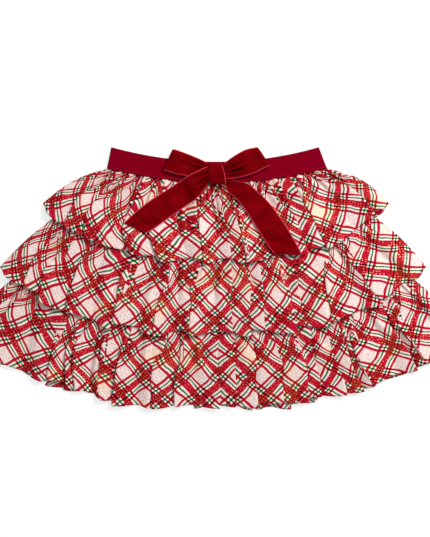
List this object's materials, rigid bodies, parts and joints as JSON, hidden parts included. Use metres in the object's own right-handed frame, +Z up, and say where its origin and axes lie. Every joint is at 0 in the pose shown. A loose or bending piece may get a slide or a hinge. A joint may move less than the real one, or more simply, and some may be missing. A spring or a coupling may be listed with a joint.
{
  "type": "tiered ruffle skirt",
  "caption": "Child's ruffle skirt laid flat: elastic waistband, three gathered tiers of thin plaid cloth front and back, and a velvet ribbon bow at the waist.",
  "frame": {"origin": "centre of the bounding box, on the surface that the skirt lies on", "axes": "+X to the right of someone looking at the skirt's front, +Y from the hem towards the waist, +Z up off the surface, front of the skirt upwards"},
  "size_m": [0.5862, 0.2992, 0.0161],
  "materials": {
    "plaid_gauze": "thin woven red, white and green plaid with gold flecks",
    "waist_knit": "smooth matt crimson knit over elastic",
    "velvet_ribbon": "deep red velvet with a satin edge"
  },
  "bodies": {
    "root": {"waistband": "waist_knit", "tier1_front": "plaid_gauze", "tier1_back": "plaid_gauze", "tier2_front": "plaid_gauze", "tier2_back": "plaid_gauze", "tier3_front": "plaid_gauze", "tier3_back": "plaid_gauze", "bow_loop_left": "velvet_ribbon", "bow_loop_right": "velvet_ribbon", "bow_knot": "velvet_ribbon", "bow_tail_left": "velvet_ribbon", "bow_tail_right": "velvet_ribbon"}
  },
  "joints": []
}
